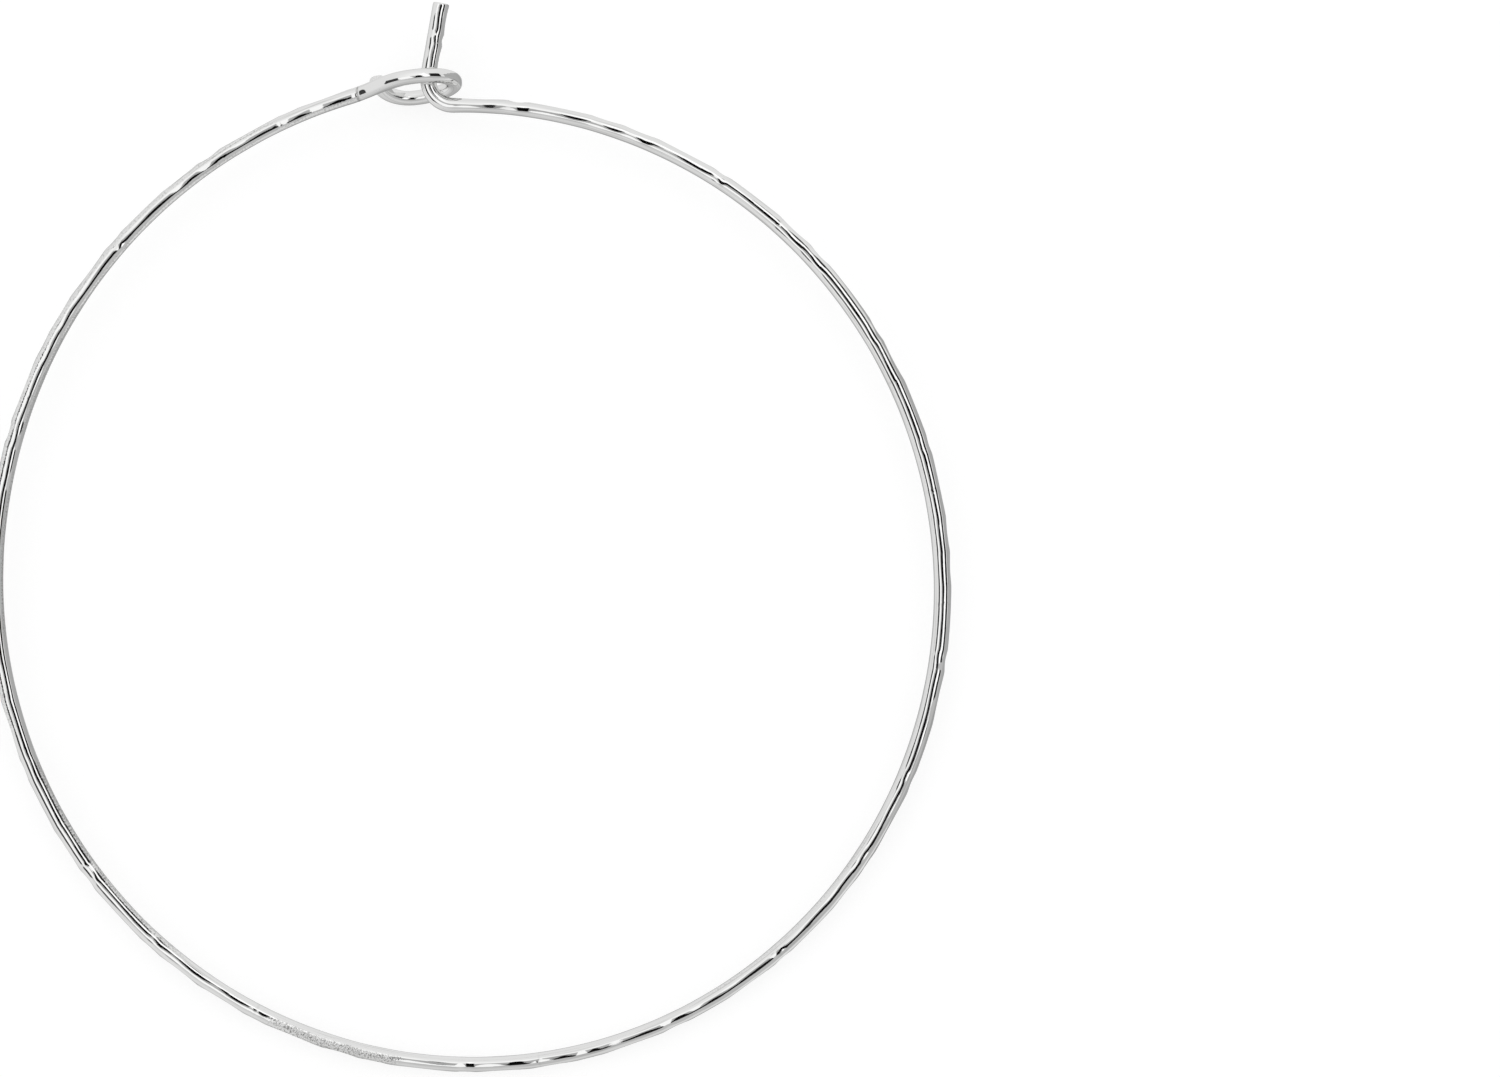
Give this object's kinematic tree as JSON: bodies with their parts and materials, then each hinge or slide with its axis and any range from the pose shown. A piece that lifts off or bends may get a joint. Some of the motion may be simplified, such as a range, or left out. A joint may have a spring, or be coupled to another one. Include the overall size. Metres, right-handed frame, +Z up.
{
  "type": "hoop earring",
  "caption": "Large thin hoop earring bent from one hammered silver wire, with an ear post hooked into a wire eye.",
  "frame": {"origin": "middle of the earring's outline, on the surface that it lies on", "axes": "+Z up out of the hoop's front face, +Y towards the crown, ear post and eye, +X to the right of the front"},
  "size_m": [0.0498, 0.0552, 0.0038],
  "materials": {
    "silver": "polished sterling silver, hammered on the outer face and lightly brushed on the inner one"
  },
  "bodies": {
    "root": {"hoop_wire": "silver"}
  },
  "joints": []
}
